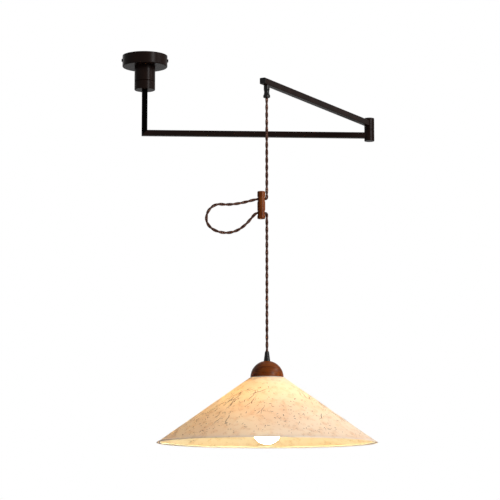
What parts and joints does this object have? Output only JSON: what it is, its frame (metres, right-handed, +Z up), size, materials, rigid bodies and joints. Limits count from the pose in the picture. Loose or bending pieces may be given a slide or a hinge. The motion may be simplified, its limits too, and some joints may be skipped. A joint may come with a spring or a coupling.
{
  "type": "paper pendant light",
  "caption": "Swing-arm ceiling pendant: black square-tube arms on a swivel canopy and elbow, a twisted textile cord gathered by a wooden toggle, and a paper cone shade with a turned wooden cap",
  "frame": {"origin": "centre of the ceiling plane above the canopy, on the swivel's axis", "axes": "+Z up to the ceiling, +X along the lower arm to the elbow, -Y toward the viewer of the picture"},
  "size_m": [0.5632, 0.6787, 0.8795],
  "materials": {
    "black_painted_steel": "satin black paint, a little brown",
    "zinc_plated_steel": "bright zinc plating",
    "terminal_plastic": "pale moulded plastic",
    "lead_insulation": "dark flexible sheath",
    "washer_nylon": "natural nylon",
    "black_plastic": "smooth black moulding",
    "brown_textile": "braided textile over a twisted pair",
    "dark_wood": "turned dark reddish wood, thin satin varnish",
    "holder_plastic": "dark phenolic moulding",
    "porcelain": "unglazed white porcelain",
    "contact_brass": "plain pressed brass",
    "white_painted_steel": "matt off-white paint",
    "shade_paper": "handmade fibre paper, cream with bark flecks",
    "opal_glass": "opal white globe, warm when lit",
    "bulb_metal": "pressed aluminium screw base",
    "bush_rubber": "soft black rubber"
  },
  "bodies": {
    "ceiling": {"ceiling_bracket": "zinc_plated_steel", "canopy": "black_painted_steel", "canopy_screws": "black_painted_steel", "terminal_block": "terminal_plastic", "canopy_leads": "lead_insulation", "canopy_washer": "zinc_plated_steel", "canopy_nut": "zinc_plated_steel", "swivel_nipple": "zinc_plated_steel", "swivel_housing": "black_painted_steel", "stop_pin": "zinc_plated_steel", "swivel_friction_washer": "washer_nylon", "swivel_spring_washer": "zinc_plated_steel", "swivel_lock_nut": "zinc_plated_steel"},
    "lower_arm": {"swivel_cup": "black_painted_steel", "swivel_plate": "black_painted_steel", "drop_tube": "black_painted_steel", "lower_arm_tube": "black_painted_steel", "lower_knuckle": "black_painted_steel", "elbow_nipple": "zinc_plated_steel", "elbow_jam_nut": "zinc_plated_steel", "elbow_friction_washer": "washer_nylon", "elbow_spring_washer": "zinc_plated_steel", "elbow_lock_nut": "zinc_plated_steel", "elbow_bottom_plug": "black_painted_steel", "lower_arm_cable": "lead_insulation"},
    "upper_arm": {"upper_knuckle": "black_painted_steel", "elbow_top_plug": "black_painted_steel", "upper_arm_tube": "black_painted_steel", "arm_end_plug": "black_plastic", "cord_gland": "black_plastic", "gland_nut": "zinc_plated_steel", "upper_arm_cable": "lead_insulation"},
    "cord_grip": {"gland_bush": "bush_rubber"},
    "hanging_cord": {"cord_upper": "brown_textile", "cord_toggle": "dark_wood"},
    "cord_feed": {"cord_loop": "brown_textile"},
    "pendant": {"cord_lower": "brown_textile", "strain_relief": "black_plastic", "shade_cap": "dark_wood", "holder_nipple": "zinc_plated_steel", "holder_cap": "holder_plastic", "holder_sleeve": "holder_plastic", "holder_core": "porcelain", "holder_shell": "contact_brass", "holder_contact": "contact_brass", "shade_ring": "holder_plastic", "shade_plate": "white_painted_steel", "shade_paper": "shade_paper", "shade_rim_wire": "white_painted_steel", "bulb_globe": "opal_glass", "bulb_base": "bulb_metal"}
  },
  "joints": [
    {"name": "base_swivel", "type": "hinge", "parent": "ceiling", "child": "lower_arm", "pos_m": [0, 0, -0.058], "axis": [0, 0, 1], "range_deg": [-165, 165]},
    {"name": "elbow", "type": "hinge", "parent": "lower_arm", "child": "upper_arm", "pos_m": [0.5, 0, -0.161], "axis": [0, 0, 1], "range_deg": [-52, 296]},
    {"name": "swing_side", "type": "hinge", "parent": "upper_arm", "child": "cord_grip", "pos_m": [0.24458, -0.40876, -0.17995], "axis": [0, 1, 0], "range_deg": [-20, 20], "deforming": ["gland_bush"]},
    {"name": "swing_fore", "type": "hinge", "parent": "cord_grip", "child": "hanging_cord", "pos_m": [0.24458, -0.40876, -0.17995], "axis": [1, 0, 0], "range_deg": [-20, 20], "deforming": ["cord_upper"]},
    {"name": "height_slide", "type": "slide", "parent": "hanging_cord", "child": "pendant", "axis": [0, 0, 1], "range_m": [-0.1, 0.1], "deforming": ["cord_lower"]},
    {"name": "loop_feed", "type": "slide", "parent": "hanging_cord", "child": "cord_feed", "axis": [-1, 0, 0], "range_m": [-0.05, 0.05], "deforming": ["cord_loop"]}
  ],
  "couplings": [
    {"joint": "loop_feed", "follows": "height_slide", "ratio": 0.5}
  ]
}
